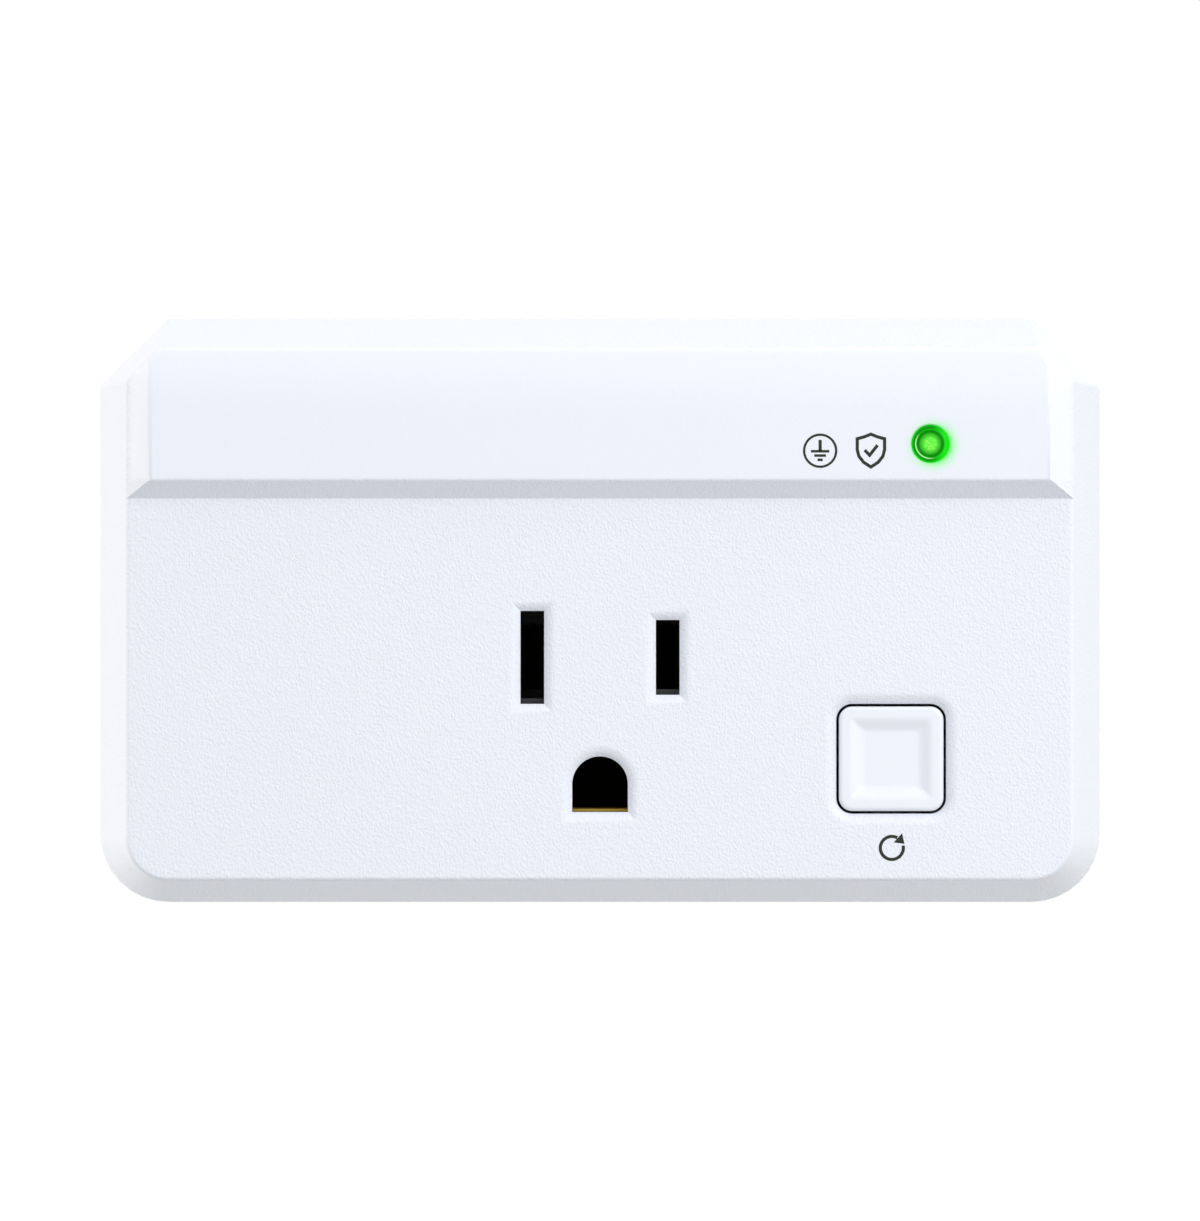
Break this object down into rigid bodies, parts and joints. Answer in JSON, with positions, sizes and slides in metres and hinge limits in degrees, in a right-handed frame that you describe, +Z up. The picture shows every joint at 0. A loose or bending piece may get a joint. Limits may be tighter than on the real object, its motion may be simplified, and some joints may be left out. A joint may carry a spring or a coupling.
{
  "type": "wall-tap surge protector",
  "caption": "Wall-tap surge protector that plugs into a wall outlet, with a grounded outlet in its face, a green status light and a reset button.",
  "frame": {"origin": "centre of the flat rear face, in the plane of the wall plate", "axes": "+X to the right seen from the front, +Y out of the rear face into the wall, along the blades, +Z up"},
  "size_m": [0.095, 0.0542, 0.0554],
  "materials": {
    "white_abs": "fine spark texture on the panel, smooth band",
    "white_abs_rear": "fine spark texture",
    "white_button": "satin",
    "screw_steel": "zinc plated",
    "blade_brass": "stamped, lightly polished",
    "contact_brass": "stamped strip",
    "contact_silver": "polished silver alloy",
    "bimetal_strip": "rolled strip",
    "spring_steel": "bright wire",
    "black_moulding": "moulded, matt",
    "brown_phenolic": "moulded, matt",
    "cream_nylon": "moulded",
    "board_green": "solder mask",
    "varistor_blue": "dipped epoxy",
    "fuse_ceramic": "plain",
    "capacitor_yellow": "moulded box",
    "resistor_tan": "lacquered",
    "resistor_blue": "lacquered",
    "diode_black": "moulded epoxy",
    "led_green": "clear tinted dome, lit",
    "lead_black": "extruded insulation",
    "lead_white": "extruded insulation",
    "lead_green": "extruded insulation"
  },
  "bodies": {
    "casing": {"front_cover": "white_abs", "rear_cover": "white_abs_rear", "case_screws": "screw_steel", "line_blade": "blade_brass", "neutral_blade": "blade_brass", "ground_pin": "blade_brass", "blade_retainer": "black_moulding", "retainer_screws": "screw_steel", "contact_block": "black_moulding", "contact_cover": "black_moulding", "contact_screws": "screw_steel", "line_contact": "contact_brass", "neutral_contact": "contact_brass", "ground_contact": "contact_brass", "button_spring": "spring_steel", "breaker_case": "black_moulding", "breaker_base": "brown_phenolic", "breaker_bimetal": "bimetal_strip", "breaker_line_terminal": "contact_brass", "breaker_load_terminal": "contact_brass", "breaker_contacts": "contact_silver", "circuit_board": "board_green", "board_screws": "screw_steel", "varistor_line_neutral": "varistor_blue", "varistor_line_ground": "varistor_blue", "varistor_neutral_ground": "varistor_blue", "thermal_fuse": "fuse_ceramic", "film_capacitor": "capacitor_yellow", "led_resistor": "resistor_tan", "bleed_resistor": "resistor_blue", "rectifier_diode": "diode_black", "status_led": "led_green", "led_legs": "spring_steel", "led_spacer": "cream_nylon", "line_lead": "lead_black", "load_lead": "lead_black", "neutral_lead": "lead_white", "ground_lead": "lead_green", "board_line_lead": "lead_black", "board_neutral_lead": "lead_white", "board_ground_lead": "lead_green"},
    "button": {"reset_button": "white_button", "breaker_plunger": "cream_nylon"}
  },
  "joints": [
    {"name": "reset_travel", "type": "slide", "parent": "casing", "child": "button", "axis": [0, 1, 0], "range_m": [-0.0025, 0.0012], "stiffness_N_per_m": 300, "deforming": ["button_spring"]}
  ]
}
